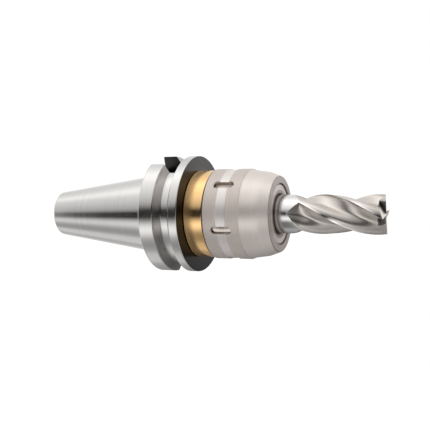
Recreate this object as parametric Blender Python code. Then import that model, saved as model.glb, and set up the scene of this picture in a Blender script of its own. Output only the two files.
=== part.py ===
"""Roller-lock milling chuck on a 7/24 taper shank, holding its end mill.

The tool axis is Z. The small end of the taper stands on Z = 0 and the cutter points up.
Sizes are in millimetres here, and become metres when a mesh or a place is made.
Each piece is one closed solid, and what moves has its origin on its joint's axis.
"""
import math

import bmesh
import bpy
from mathutils import Matrix, Vector

MM = 0.001

# Fits and fineness
GAP = 0.3                  # clearance between neighbouring pieces
SEGMENTS = 48              # facets round a large turned piece
SMALL_SEGMENTS = 32        # facets round a seal or a screw
EDGE = 0.8                 # common edge chamfer

# Taper shank, 7/24 with a 69.85 mm gauge diameter
GAUGE_DIAMETER = 69.85
TAPER_RATIO = 7 / 24       # change of diameter for each unit of length
TAPER_LENGTH = 101.8
TAPER_NECK_RELIEF = 0.35

# Flange with its gripper groove and two drive slots
FLANGE_DIAMETER = 100.0
FLANGE_FROM_GAUGE = 3.0
FLANGE_WIDTH = 35.0
GROOVE_FROM_GAUGE = 23.2
GROOVE_MOUTH = 15.0
GROOVE_DEPTH = 7.5
GROOVE_HALF_ANGLE = math.radians(30)
SLOT_WIDTH = 25.7
SLOT_FLOOR_FROM_AXIS = 35.4
SLOT_LENGTH = 24.0

# Holes up the shank
PILOT_DIAMETER = 25.0
PILOT_DEPTH = 12.0
STUD_THREAD_DIAMETER = 20.8
STUD_THREAD_DEPTH = 60.0
COOLANT_DIAMETER = 12.0

# End mill and how deep it sits
MILL_DIAMETER = 32.0
MILL_LENGTH = 165.0
CLAMP_DEPTH = 77.5
FLUTE_COUNT = 4
FLUTE_LENGTH = 78.0
RUN_OUT = 10.5             # length over which a flute fades into the shank
HELIX_ANGLE = math.radians(30)
CORE_RATIO = 0.60          # core diameter over mill diameter
LAND_SHARE = 0.10          # part of a tooth's pitch that is land
FLUTE_BOTTOM_SHARE = 0.42  # where the flute is deepest, from the cutting edge
HEEL_RATIO = 0.975         # radius behind the land over the mill's radius
TIP_EDGE_ANGLE = math.radians(355)  # a cutting edge's place at the tip, from +X
RING_STEP = 4.0            # length of mill between two sections

# Preset screw behind the end mill
SCREW_DIAMETER = 19.4
SCREW_LENGTH = 35.0
SCREW_TRAVEL = 10.0
SCREW_RUN_OUT = 8.5        # hole left behind the screw at the end of its travel
SCREW_CORE_HOLE = 6.0
SCREW_SOCKET_WIDTH = 10.0
SCREW_SOCKET_DEPTH = 9.0
SCREW_SEAL_SECTION = 1.6
SCREW_SEAL_FROM_END = 5.0
BORE_BEYOND_SHANK = 11.8

# Neck with the backing ring and the rear seal
NECK_CLEARANCE = 1.1       # neck to the nut's rear bore
RING_INSET = 0.95          # how far the ring's outside lies inside the nut's
RING_LENGTH = 16.1
REAR_SEAL_SECTION = 2.2
REAR_SEAL_INSET = 3.1      # nut's rear face to the seal's groove
NECK_LIP = 1.5             # neck left in front of the seal's groove

# Roller train on the tapered clamping sleeve
TRACK_TAPER = 1 / 32       # change of radius for each unit of length
SLEEVE_TRACK_STEP = 0.5    # step from the nose up to the small end of the track
ROLLER_DIAMETER = 3.0
ROLLER_LENGTH = 14.0
ROLLER_ROWS = 2
ROLLERS_PER_ROW = 16
CAGE_BAR = 1.6             # cage left at each end of a pocket
CAGE_WALL = 1.8
CAGE_FROM_NECK = 3.5

# Rings that keep the nut and the cage on the sleeve
KEEPER_THICKNESS = 1.6
KEEPER_WIDTH = 3.6
STOP_THICKNESS = 1.4
STOP_WIDTH = 3.4
STOP_GROOVE_DEPTH = 1.4
RING_MOUTH = math.radians(24)
NUT_TRAVEL = 2.4

# Clamping nut
NUT_DIAMETER = 76.3
NUT_REAR_WALL = 6.05       # nut's outside to its rear bore
NUT_LIP_WALL = 12.55       # nut's outside to the bore of its lip
NUT_REAR_LAND = 11.9
BAND_LENGTH = 8.6
BAND_DEPTH = 0.75
FRONT_LAND_END = 31.7      # nut's rear face to the end of its front land
FRONT_LAND_INSET = 0.1     # how far each turned surface lies inside the rear land
UPPER_CONE_INSET = 3.15
FACE_INSET = 6.65
CONE_STEP = 0.85
UPPER_CONE_END = 46.7
SPANNER_SLOTS = 6
SPANNER_SLOT_LENGTH = 17.5
SPANNER_SLOT_WIDTH = 6.5
SPANNER_SLOT_DEPTH = 4.6
SPANNER_SLOT_ANGLE = math.radians(32.9)
LIP_LENGTH = 4.0
LIP_CLEARANCE = 0.9        # nut's lip to the sleeve's nose
NOSE_SEAL_THICKNESS = 1.6
NOSE_SEAL_WIDTH = 2.3
NOSE_SEAL_FROM_FACE = 1.1
SLEEVE_RECESS = 1.0        # how far the sleeve's end lies inside the nut's face

# Radii and heights that follow
GAUGE_Z = TAPER_LENGTH
GAUGE_RADIUS = GAUGE_DIAMETER / 2
SMALL_END_RADIUS = GAUGE_RADIUS - TAPER_LENGTH * TAPER_RATIO / 2
FLANGE_RADIUS = FLANGE_DIAMETER / 2
FLANGE_REAR_Z = GAUGE_Z + FLANGE_FROM_GAUGE
FLANGE_FRONT_Z = FLANGE_REAR_Z + FLANGE_WIDTH
GROOVE_Z = GAUGE_Z + GROOVE_FROM_GAUGE
GROOVE_BOTTOM = GROOVE_MOUTH - 2 * GROOVE_DEPTH * math.tan(GROOVE_HALF_ANGLE)

NUT_RADIUS = NUT_DIAMETER / 2
RING_RADIUS = NUT_RADIUS - RING_INSET
REAR_BORE_RADIUS = NUT_RADIUS - NUT_REAR_WALL
NECK_RADIUS = REAR_BORE_RADIUS - NECK_CLEARANCE
LIP_RADIUS = NUT_RADIUS - NUT_LIP_WALL
NOSE_RADIUS = LIP_RADIUS - LIP_CLEARANCE
TRACK_SMALL_RADIUS = NOSE_RADIUS + SLEEVE_TRACK_STEP
KEEPER_INNER_RADIUS = TRACK_SMALL_RADIUS + 2 * GAP

RING_Z = FLANGE_FRONT_Z + GAP
NUT_Z = RING_Z + RING_LENGTH + GAP
REAR_SEAL_GROOVE_WIDTH = REAR_SEAL_SECTION + 2 * GAP
REAR_SEAL_GROOVE_Z = NUT_Z + REAR_SEAL_INSET
REAR_SEAL_RADIUS = REAR_BORE_RADIUS - GAP - REAR_SEAL_SECTION / 2
REAR_SEAL_GROOVE_RADIUS = REAR_SEAL_RADIUS - REAR_SEAL_SECTION / 2 - GAP
NECK_END_Z = REAR_SEAL_GROOVE_Z + REAR_SEAL_GROOVE_WIDTH + NECK_LIP

POCKET_LENGTH = ROLLER_LENGTH + 2 * GAP
CAGE_LENGTH = ROLLER_ROWS * POCKET_LENGTH + (ROLLER_ROWS + 1) * CAGE_BAR
CAGE_Z = NECK_END_Z + CAGE_FROM_NECK
CAGE_END_Z = CAGE_Z + CAGE_LENGTH
KEEPER_GROOVE_Z = CAGE_END_Z + GAP
KEEPER_Z = KEEPER_GROOVE_Z + GAP
KEEPER_END_Z = KEEPER_Z + KEEPER_THICKNESS
STOP_Z = KEEPER_END_Z + NUT_TRAVEL + GAP
STOP_END_Z = STOP_Z + STOP_THICKNESS
TRACK_END_Z = STOP_Z - 2 * GAP
LIP_Z = STOP_END_Z + 2 * GAP
NUT_END_Z = LIP_Z + LIP_LENGTH
SLEEVE_END_Z = NUT_END_Z - SLEEVE_RECESS

MILL_RADIUS = MILL_DIAMETER / 2
MILL_Z = SLEEVE_END_Z - CLAMP_DEPTH
BORE_RADIUS = MILL_RADIUS + GAP
BORE_BOTTOM_Z = MILL_Z - BORE_BEYOND_SHANK
SCREW_RADIUS = SCREW_DIAMETER / 2
SCREW_Z = MILL_Z - GAP - SCREW_LENGTH
SCREW_HOLE_RADIUS = SCREW_RADIUS + GAP
SCREW_HOLE_Z = SCREW_Z - SCREW_TRAVEL - SCREW_RUN_OUT
SCREW_SEAL_RADIUS = SCREW_RADIUS - SCREW_SEAL_SECTION / 2
SCREW_SEAL_Z = SCREW_Z + SCREW_SEAL_FROM_END

STEEL = (0.60, 0.59, 0.57)
NICKEL = (0.62, 0.58, 0.54)
BRASS = (0.72, 0.50, 0.20)
BRONZE = (0.55, 0.38, 0.18)
HARD_STEEL = (0.70, 0.70, 0.70)
SPRING_STEEL = (0.20, 0.20, 0.21)
RUBBER = (0.03, 0.03, 0.03)
BRIGHT_STEEL = (0.66, 0.64, 0.62)


def sleeve_radius(height):
    """Outer radius of the clamping sleeve's track at a height."""
    return TRACK_SMALL_RADIUS + (TRACK_END_Z - height) * TRACK_TAPER


def track_radius(height):
    """Radius of the nut's inner track, which runs parallel to the sleeve."""
    return sleeve_radius(height) + ROLLER_DIAMETER + 2 * GAP


def clear_scene():
    """Remove whatever the file holds."""
    for thing in list(bpy.data.objects):
        bpy.data.objects.remove(thing)


def make_material(name, colour, roughness, metallic):
    """A Principled material with one plain finish."""
    material = bpy.data.materials.new(name)
    material.use_nodes = True
    shader = material.node_tree.nodes["Principled BSDF"]
    shader.inputs["Base Color"].default_value = (*colour, 1.0)
    shader.inputs["Roughness"].default_value = roughness
    shader.inputs["Metallic"].default_value = metallic
    return material


def make_frame(name, height=0.0):
    """An empty on the tool axis that carries one body's pieces."""
    frame = bpy.data.objects.new(name, None)
    frame.empty_display_size = 0.02
    frame.location = (0, 0, height * MM)
    bpy.context.collection.objects.link(frame)
    return frame


def add_piece(name, mesh, parent, colour, roughness=0.3, metallic=1.0, matrix=None):
    """Place a mesh as a piece under its body's frame, at a place in the model's frame."""
    piece = bpy.data.objects.new(name, mesh)
    bpy.context.collection.objects.link(piece)
    material = make_material(name + "_finish", colour, roughness, metallic)
    if not mesh.materials:
        mesh.materials.append(None)
    piece.material_slots[0].link = "OBJECT"
    piece.material_slots[0].material = material
    piece.parent = parent
    place = matrix if matrix is not None else Matrix()
    piece.matrix_local = Matrix.Translation(-parent.location) @ place
    return piece


def finish_mesh(name, build):
    """Turn a bmesh into a smooth-shaded mesh with outward faces."""
    bmesh.ops.recalc_face_normals(build, faces=build.faces)
    mesh = bpy.data.meshes.new(name)
    build.to_mesh(mesh)
    build.free()
    mesh.shade_smooth()
    mesh.set_sharp_from_angle(angle=math.radians(28))
    return mesh


def turned(name, outline, base, segments=SEGMENTS):
    """Turn a closed outline of (radius, height) about Z, with heights taken from base."""
    build = bmesh.new()
    points = [build.verts.new((radius * MM, 0, (height - base) * MM)) for radius, height in outline]
    edges = [build.edges.new((points[i - 1], point)) for i, point in enumerate(points)]
    bmesh.ops.spin(build, geom=points + edges, cent=(0, 0, 0), axis=(0, 0, 1), dvec=(0, 0, 0),
                   angle=2 * math.pi, steps=segments, use_merge=True)
    bmesh.ops.remove_doubles(build, verts=build.verts, dist=1e-7)
    return finish_mesh(name, build)


def box_mesh(name, size, centre):
    """A box of a size about a centre, for a cutter."""
    build = bmesh.new()
    bmesh.ops.create_cube(build, size=1.0)
    bmesh.ops.scale(build, vec=Vector(size) * MM, verts=build.verts)
    bmesh.ops.translate(build, vec=Vector(centre) * MM, verts=build.verts)
    return finish_mesh(name, build)


def prism_mesh(name, outline, low, high):
    """A prism along Z over an outline of (x, y) points."""
    build = bmesh.new()
    floor = [build.verts.new((x * MM, y * MM, low * MM)) for x, y in outline]
    base = build.faces.new(floor)
    lifted = bmesh.ops.extrude_face_region(build, geom=[base])["geom"]
    top = [part for part in lifted if isinstance(part, bmesh.types.BMVert)]
    bmesh.ops.translate(build, vec=(0, 0, (high - low) * MM), verts=top)
    return finish_mesh(name, build)


def cut(piece, name, mesh, matrix=None):
    """Cut a piece with a hidden cutter that rides on it."""
    cutter = bpy.data.objects.new(name, mesh)
    bpy.context.collection.objects.link(cutter)
    cutter.hide_render = True
    cutter.display_type = "WIRE"
    cutter.parent = piece
    cutter.matrix_local = matrix if matrix is not None else Matrix()
    step = piece.modifiers.new(name, "BOOLEAN")
    step.operation = "DIFFERENCE"
    step.solver = "EXACT"
    step.object = cutter


def seal_outline(radius, height, section, points=8):
    """A round seal section about a radius and a height."""
    turn = 2 * math.pi / points
    return [(radius + section / 2 * math.cos((i + 0.5) * turn),
             height + section / 2 * math.sin((i + 0.5) * turn)) for i in range(points)]


def body_outline():
    """Outline of the chuck body: up its outside from the small end, and down its bores."""
    stop_groove_radius = NOSE_RADIUS - STOP_GROOVE_DEPTH
    thread_radius = STUD_THREAD_DIAMETER / 2
    coolant_radius = COOLANT_DIAMETER / 2
    groove_floor = FLANGE_RADIUS - GROOVE_DEPTH
    neck_root = GAUGE_RADIUS - TAPER_NECK_RELIEF
    shank = [
        (SMALL_END_RADIUS - 1.0, 0.0),
        (SMALL_END_RADIUS + TAPER_RATIO / 2, 1.0),
        (GAUGE_RADIUS, GAUGE_Z),
        (neck_root, GAUGE_Z + TAPER_NECK_RELIEF),
        (neck_root, FLANGE_REAR_Z),
    ]
    flange = [
        (FLANGE_RADIUS - EDGE, FLANGE_REAR_Z),
        (FLANGE_RADIUS, FLANGE_REAR_Z + EDGE),
        (FLANGE_RADIUS, GROOVE_Z - GROOVE_MOUTH / 2),
        (groove_floor, GROOVE_Z - GROOVE_BOTTOM / 2),
        (groove_floor, GROOVE_Z + GROOVE_BOTTOM / 2),
        (FLANGE_RADIUS, GROOVE_Z + GROOVE_MOUTH / 2),
        (FLANGE_RADIUS, FLANGE_FRONT_Z - EDGE),
        (FLANGE_RADIUS - EDGE, FLANGE_FRONT_Z),
    ]
    neck = [
        (NECK_RADIUS, FLANGE_FRONT_Z),
        (NECK_RADIUS, REAR_SEAL_GROOVE_Z),
        (REAR_SEAL_GROOVE_RADIUS, REAR_SEAL_GROOVE_Z),
        (REAR_SEAL_GROOVE_RADIUS, REAR_SEAL_GROOVE_Z + REAR_SEAL_GROOVE_WIDTH),
        (NECK_RADIUS, REAR_SEAL_GROOVE_Z + REAR_SEAL_GROOVE_WIDTH),
        (NECK_RADIUS, NECK_END_Z),
    ]
    sleeve = [
        (sleeve_radius(NECK_END_Z), NECK_END_Z),
        (TRACK_SMALL_RADIUS, TRACK_END_Z),
        (NOSE_RADIUS, TRACK_END_Z),
        (NOSE_RADIUS, STOP_Z - GAP),
        (stop_groove_radius, STOP_Z - GAP),
        (stop_groove_radius, STOP_END_Z + GAP),
        (NOSE_RADIUS, STOP_END_Z + GAP),
        (NOSE_RADIUS, SLEEVE_END_Z - EDGE / 2),
        (NOSE_RADIUS - EDGE / 2, SLEEVE_END_Z),
    ]
    bores = [
        (BORE_RADIUS + 1.0, SLEEVE_END_Z),
        (BORE_RADIUS, SLEEVE_END_Z - 1.0),
        (BORE_RADIUS, BORE_BOTTOM_Z),
        (SCREW_HOLE_RADIUS, BORE_BOTTOM_Z),
        (SCREW_HOLE_RADIUS, SCREW_HOLE_Z),
        (coolant_radius, SCREW_HOLE_Z),
        (coolant_radius, STUD_THREAD_DEPTH),
        (thread_radius, STUD_THREAD_DEPTH - (thread_radius - coolant_radius) / 2),
        (thread_radius, PILOT_DEPTH),
        (PILOT_DIAMETER / 2, PILOT_DEPTH),
        (PILOT_DIAMETER / 2, 1.0),
        (PILOT_DIAMETER / 2 + 1.0, 0.0),
    ]
    return shank + flange + neck + sleeve + bores


def make_body(root):
    """Taper, flange, neck and clamping sleeve, turned from one piece of steel."""
    body = add_piece("chuck_body", turned("chuck_body", body_outline(), 0.0), root, STEEL, 0.28)
    overlap = 10.0
    depth = FLANGE_RADIUS - SLOT_FLOOR_FROM_AXIS + overlap
    reach = SLOT_LENGTH + overlap
    size = (depth, SLOT_WIDTH, reach)
    for name, side in (("drive_slot_near", -1), ("drive_slot_far", 1)):
        centre = (side * (SLOT_FLOOR_FROM_AXIS + depth / 2), 0,
                  FLANGE_REAR_Z + SLOT_LENGTH - reach / 2)
        cut(body, name, box_mesh(name, size, centre))
    return body


def make_backing_ring(root):
    """Plain ring between the flange and the nut."""
    inner = NECK_RADIUS + GAP
    end = RING_Z + RING_LENGTH
    outline = [
        (inner, RING_Z),
        (RING_RADIUS - EDGE / 2, RING_Z),
        (RING_RADIUS, RING_Z + EDGE / 2),
        (RING_RADIUS, end - EDGE / 2),
        (RING_RADIUS - EDGE / 2, end),
        (inner, end),
    ]
    mesh = turned("backing_ring", outline, RING_Z)
    add_piece("backing_ring", mesh, root, BRASS, 0.18, 1.0, Matrix.Translation((0, 0, RING_Z * MM)))


def make_rear_seal(root):
    """Rubber ring in the neck's groove, which wipes the nut's rear bore."""
    height = REAR_SEAL_GROOVE_Z + REAR_SEAL_GROOVE_WIDTH / 2
    outline = seal_outline(REAR_SEAL_RADIUS, height, REAR_SEAL_SECTION)
    mesh = turned("rear_seal_ring", outline, height, SEGMENTS)
    place = Matrix.Translation((0, 0, height * MM))
    add_piece("rear_seal_ring", mesh, root, RUBBER, 0.7, 0.0, place)


def split_ring(name, inner, outer, thickness, segments=40):
    """A flat ring with a mouth, as a retaining ring has."""
    build = bmesh.new()
    sweep = 2 * math.pi - RING_MOUTH
    sections = []
    for step in range(segments + 1):
        angle = RING_MOUTH / 2 + sweep * step / segments
        corners = ((inner, 0), (outer, 0), (outer, thickness), (inner, thickness))
        sections.append([build.verts.new((radius * math.cos(angle) * MM, radius * math.sin(angle) * MM,
                                          height * MM)) for radius, height in corners])
    for first, second in zip(sections, sections[1:]):
        for i in range(4):
            build.faces.new((first[i - 1], first[i], second[i], second[i - 1]))
    build.faces.new(sections[0])
    build.faces.new(sections[-1])
    return finish_mesh(name, build)


def make_keepers(root, nut_frame):
    """Stop ring on the sleeve, and keeper ring in the nut that holds the cage."""
    inner = NOSE_RADIUS - STOP_GROOVE_DEPTH + GAP
    stop = split_ring("stop_ring", inner, inner + STOP_WIDTH, STOP_THICKNESS)
    add_piece("stop_ring", stop, root, SPRING_STEEL, 0.35, 1.0, Matrix.Translation((0, 0, STOP_Z * MM)))
    keeper = split_ring("keeper_ring", KEEPER_INNER_RADIUS, KEEPER_INNER_RADIUS + KEEPER_WIDTH,
                        KEEPER_THICKNESS)
    place = Matrix.Translation((0, 0, KEEPER_Z * MM))
    add_piece("keeper_ring", keeper, nut_frame, SPRING_STEEL, 0.35, 1.0, place)


def nut_outline():
    """Outline of the nut: up its bores from the rear face, and down its outside."""
    keeper_groove_radius = KEEPER_INNER_RADIUS + KEEPER_WIDTH + GAP
    track_start = CAGE_Z - 3 * GAP
    seal_groove_end = NUT_END_Z - NOSE_SEAL_FROM_FACE + GAP
    seal_groove_start = seal_groove_end - NOSE_SEAL_THICKNESS - 2 * GAP
    seal_groove_radius = NOSE_RADIUS + GAP + NOSE_SEAL_WIDTH + GAP
    cavity_radius = track_radius(KEEPER_GROOVE_Z)
    band_radius = NUT_RADIUS - BAND_DEPTH
    front_land_radius = NUT_RADIUS - FRONT_LAND_INSET
    face_radius = NUT_RADIUS - FACE_INSET
    keeper_groove_end = KEEPER_END_Z + GAP
    inside = [
        (REAR_BORE_RADIUS + EDGE / 2, NUT_Z),
        (REAR_BORE_RADIUS, NUT_Z + EDGE / 2),
        (REAR_BORE_RADIUS, track_start),
        (track_radius(track_start), track_start),
        (track_radius(KEEPER_GROOVE_Z), KEEPER_GROOVE_Z),
        (keeper_groove_radius, KEEPER_GROOVE_Z),
        (keeper_groove_radius, keeper_groove_end),
        (cavity_radius, keeper_groove_end),
        (cavity_radius, LIP_Z),
        (LIP_RADIUS, LIP_Z),
        (LIP_RADIUS, seal_groove_start),
        (seal_groove_radius, seal_groove_start),
        (seal_groove_radius, seal_groove_end),
        (LIP_RADIUS, seal_groove_end),
        (LIP_RADIUS, NUT_END_Z),
    ]
    outside = [
        (face_radius - EDGE / 2, NUT_END_Z),
        (face_radius, NUT_END_Z - EDGE / 4),
        (NUT_RADIUS - UPPER_CONE_INSET, NUT_Z + UPPER_CONE_END),
        (front_land_radius - CONE_STEP, NUT_Z + FRONT_LAND_END),
        (front_land_radius, NUT_Z + FRONT_LAND_END - EDGE / 4),
        (front_land_radius, NUT_Z + NUT_REAR_LAND + BAND_LENGTH),
        (band_radius, NUT_Z + NUT_REAR_LAND + BAND_LENGTH - EDGE / 4),
        (band_radius, NUT_Z + NUT_REAR_LAND + EDGE / 4),
        (NUT_RADIUS, NUT_Z + NUT_REAR_LAND),
        (NUT_RADIUS, NUT_Z + EDGE / 2),
        (NUT_RADIUS - EDGE / 2, NUT_Z),
    ]
    return inside + outside


def slot_outline(steps=6):
    """Round-ended spanner slot seen along the radius, as (across, along) points."""
    half = SPANNER_SLOT_WIDTH / 2
    straight = SPANNER_SLOT_LENGTH / 2 - half
    points = []
    for end, start in ((straight, 0.0), (-straight, math.pi)):
        for step in range(steps + 1):
            angle = start + math.pi * step / steps
            points.append((half * math.cos(angle), end + half * math.sin(angle)))
    return points


def make_nut(nut_frame):
    """Clamping nut with its six spanner slots."""
    place = Matrix.Translation((0, 0, NUT_Z * MM))
    mesh = turned("clamp_nut", nut_outline(), NUT_Z)
    nut = add_piece("clamp_nut", mesh, nut_frame, NICKEL, 0.42, 1.0, place)
    floor = NUT_RADIUS - SPANNER_SLOT_DEPTH
    band_middle = (NUT_REAR_LAND + BAND_LENGTH / 2) * MM
    lay_along_x = Matrix(((0, 0, 1, 0), (1, 0, 0, 0), (0, 1, 0, 0), (0, 0, 0, 1)))
    for i in range(SPANNER_SLOTS):
        name = f"spanner_slot_{i + 1}"
        turn = Matrix.Rotation(SPANNER_SLOT_ANGLE + 2 * math.pi * i / SPANNER_SLOTS, 4, "Z")
        slot = prism_mesh(name, slot_outline(), floor, NUT_RADIUS + 5)
        cut(nut, name, slot, Matrix.Translation((0, 0, band_middle)) @ turn @ lay_along_x)
    return nut


def make_nose_seal(slide_frame):
    """Rubber ring in the nut's lip, which slides on the sleeve's nose and doesn't turn."""
    end = NUT_END_Z - NOSE_SEAL_FROM_FACE
    start = end - NOSE_SEAL_THICKNESS
    inner = NOSE_RADIUS + GAP
    outer = inner + NOSE_SEAL_WIDTH
    outline = [
        (inner, start + GAP),
        (inner + GAP, start),
        (outer, start),
        (outer, end),
        (inner + GAP, end),
        (inner, end - GAP),
    ]
    mesh = turned("nose_seal", outline, start)
    place = Matrix.Translation((0, 0, start * MM))
    add_piece("nose_seal", mesh, slide_frame, RUBBER, 0.7, 0.0, place)


def cage_rows():
    """Heights where the cage changes between a bar and a row of pockets, from its rear end."""
    heights = [0.0]
    for _ in range(ROLLER_ROWS):
        heights.append(heights[-1] + CAGE_BAR)
        heights.append(heights[-1] + POCKET_LENGTH)
    return heights + [heights[-1] + CAGE_BAR]


def cage_angles():
    """Angles of the cage's columns: each pitch has one pocket and two columns of web."""
    pitch = 2 * math.pi / ROLLERS_PER_ROW
    middle_radius = sleeve_radius(CAGE_Z + CAGE_LENGTH / 2)
    half_pocket = math.asin((ROLLER_DIAMETER / 2 + GAP) / (middle_radius + GAP + CAGE_WALL / 2))
    angles = []
    for i in range(ROLLERS_PER_ROW):
        angles += [i * pitch - half_pocket, i * pitch + half_pocket, (i + 0.5) * pitch]
    return angles


def cage_mesh():
    """The cage as a grid of cells, open where a roller sits."""
    heights = cage_rows()
    angles = cage_angles()
    columns = len(angles)
    rows = len(heights) - 1
    build = bmesh.new()
    layers = []
    for offset in (2 * GAP, 2 * GAP + CAGE_WALL):
        layer = []
        for height in heights:
            radius = sleeve_radius(CAGE_Z + height) + offset
            layer.append([build.verts.new((radius * math.cos(a) * MM, radius * math.sin(a) * MM,
                                           height * MM)) for a in angles])
        layers.append(layer)

    def is_open(row, column):
        outside = row < 0 or row >= rows
        return outside or (column % columns % 3 == 0 and row % 2 == 1)

    def wall(row_a, column_a, row_b, column_b):
        low, high = layers
        build.faces.new((low[row_a][column_a % columns], low[row_b][column_b % columns],
                         high[row_b][column_b % columns], high[row_a][column_a % columns]))

    for row in range(rows):
        for column in range(columns):
            if is_open(row, column):
                continue
            for layer in layers:
                build.faces.new((layer[row][column], layer[row][(column + 1) % columns],
                                 layer[row + 1][(column + 1) % columns], layer[row + 1][column]))
            if is_open(row - 1, column):
                wall(row, column, row, column + 1)
            if is_open(row + 1, column):
                wall(row + 1, column, row + 1, column + 1)
            if is_open(row, column - 1):
                wall(row, column, row + 1, column)
            if is_open(row, column + 1):
                wall(row, column + 1, row + 1, column + 1)
    return finish_mesh("roller_cage", build)


def roller_mesh(sides=12):
    """One needle roller along Z about its middle, with small end chamfers."""
    build = bmesh.new()
    half = ROLLER_LENGTH / 2
    chamfer = ROLLER_DIAMETER / 10
    rings = []
    for radius, height in ((ROLLER_DIAMETER / 2 - chamfer, -half), (ROLLER_DIAMETER / 2, chamfer - half),
                           (ROLLER_DIAMETER / 2, half - chamfer), (ROLLER_DIAMETER / 2 - chamfer, half)):
        rings.append([build.verts.new((radius * math.cos(2 * math.pi * i / sides) * MM,
                                       radius * math.sin(2 * math.pi * i / sides) * MM,
                                       height * MM)) for i in range(sides)])
    for lower, upper in zip(rings, rings[1:]):
        for i in range(sides):
            build.faces.new((lower[i - 1], lower[i], upper[i], upper[i - 1]))
    build.faces.new(rings[0])
    build.faces.new(rings[-1])
    return finish_mesh("needle_roller", build)


def make_roller_train(cage_frame):
    """Cage and its two rows of needle rollers, which lie along the taper."""
    place = Matrix.Translation((0, 0, CAGE_Z * MM))
    add_piece("roller_cage", cage_mesh(), cage_frame, BRONZE, 0.4, 1.0, place)
    lean = Matrix.Rotation(-math.atan(TRACK_TAPER), 4, "Y")
    shared = roller_mesh()
    for row in range(ROLLER_ROWS):
        middle = CAGE_Z + CAGE_BAR + POCKET_LENGTH / 2 + row * (POCKET_LENGTH + CAGE_BAR)
        radius = sleeve_radius(middle) + GAP + ROLLER_DIAMETER / 2
        shift = Matrix.Translation((radius * MM, 0, middle * MM))
        for i in range(ROLLERS_PER_ROW):
            turn = Matrix.Rotation(2 * math.pi * i / ROLLERS_PER_ROW, 4, "Z")
            name = f"roller_{row + 1}_{i + 1:02d}"
            add_piece(name, shared, cage_frame, HARD_STEEL, 0.15, 1.0, turn @ shift @ lean)


def make_preset_screw(slide_frame, turn_frame):
    """Preset screw behind the shank, with its hexagon socket, coolant hole and seal."""
    hole = SCREW_CORE_HOLE / 2
    end = SCREW_Z + SCREW_LENGTH
    groove_radius = SCREW_SEAL_RADIUS - SCREW_SEAL_SECTION / 2 - GAP
    half_groove = SCREW_SEAL_SECTION / 2 + GAP
    outline = [
        (hole, SCREW_Z),
        (SCREW_RADIUS - EDGE, SCREW_Z),
        (SCREW_RADIUS, SCREW_Z + EDGE),
        (SCREW_RADIUS, SCREW_SEAL_Z - half_groove),
        (groove_radius, SCREW_SEAL_Z - half_groove),
        (groove_radius, SCREW_SEAL_Z + half_groove),
        (SCREW_RADIUS, SCREW_SEAL_Z + half_groove),
        (SCREW_RADIUS, end - EDGE),
        (SCREW_RADIUS - EDGE, end),
        (hole, end),
    ]
    mesh = turned("preset_screw", outline, SCREW_Z, SMALL_SEGMENTS)
    place = Matrix.Translation((0, 0, SCREW_Z * MM))
    screw = add_piece("preset_screw", mesh, turn_frame, SPRING_STEEL, 0.4, 1.0, place)
    corner = SCREW_SOCKET_WIDTH / 2 / math.cos(math.radians(30))
    hexagon = [(corner * math.cos(math.radians(60 * i)), corner * math.sin(math.radians(60 * i)))
               for i in range(6)]
    socket = prism_mesh("hexagon_socket", hexagon, SCREW_LENGTH - SCREW_SOCKET_DEPTH, SCREW_LENGTH + 2)
    cut(screw, "hexagon_socket", socket)
    seal = turned("screw_seal_ring", seal_outline(SCREW_SEAL_RADIUS, SCREW_SEAL_Z, SCREW_SEAL_SECTION, 6),
                  SCREW_SEAL_Z, SMALL_SEGMENTS)
    place = Matrix.Translation((0, 0, SCREW_SEAL_Z * MM))
    add_piece("screw_seal_ring", seal, slide_frame, RUBBER, 0.7, 0.0, place)


def tooth_shares():
    """Where a section's points lie along one tooth's pitch, from the cutting edge on."""
    rake = [FLUTE_BOTTOM_SHARE * share for share in (0.0, 0.03, 0.12, 0.3, 0.6, 1.0)]
    heel = 1 - LAND_SHARE
    back = [FLUTE_BOTTOM_SHARE + (heel - FLUTE_BOTTOM_SHARE) * i / 5 for i in range(1, 6)]
    return rake + back


def flute_radius(share):
    """Radius of the fluted section over the mill's radius, at a share of the pitch."""
    depth = 1 - CORE_RATIO
    heel = 1 - LAND_SHARE
    if share <= FLUTE_BOTTOM_SHARE:
        return 1 - depth * math.sqrt(math.sin(math.pi / 2 * share / FLUTE_BOTTOM_SHARE))
    if share <= heel:
        rise = (1 - math.cos(math.pi * (share - FLUTE_BOTTOM_SHARE) / (heel - FLUTE_BOTTOM_SHARE))) / 2
        return CORE_RATIO + (HEEL_RATIO - CORE_RATIO) * rise
    return HEEL_RATIO + (1 - HEEL_RATIO) * (share - heel) / LAND_SHARE


def mill_sections():
    """Heights, twists and flute lifts of the end mill's sections, from the shank's end."""
    lead = math.pi * MILL_DIAMETER / math.tan(HELIX_ANGLE)
    flute_start = MILL_LENGTH - FLUTE_LENGTH
    full_depth = flute_start + RUN_OUT
    tip_twist = TIP_EDGE_ANGLE
    start_twist = tip_twist - 2 * math.pi * (MILL_LENGTH - full_depth) / lead
    sections = [(0.0, start_twist, 1.0, MILL_RADIUS - EDGE), (EDGE, start_twist, 1.0, MILL_RADIUS)]
    for i in range(6):
        share = i / 5
        lift = (1 - math.sin(math.pi / 2 * share)) if i else 1.0
        sections.append((flute_start + RUN_OUT * share, start_twist, lift, MILL_RADIUS))
    steps = round((MILL_LENGTH - full_depth) / RING_STEP)
    for i in range(1, steps + 1):
        height = full_depth + (MILL_LENGTH - full_depth) * i / steps
        twist = start_twist + 2 * math.pi * (height - full_depth) / lead
        sections.append((height, twist, 0.0, MILL_RADIUS))
    return sections


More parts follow.
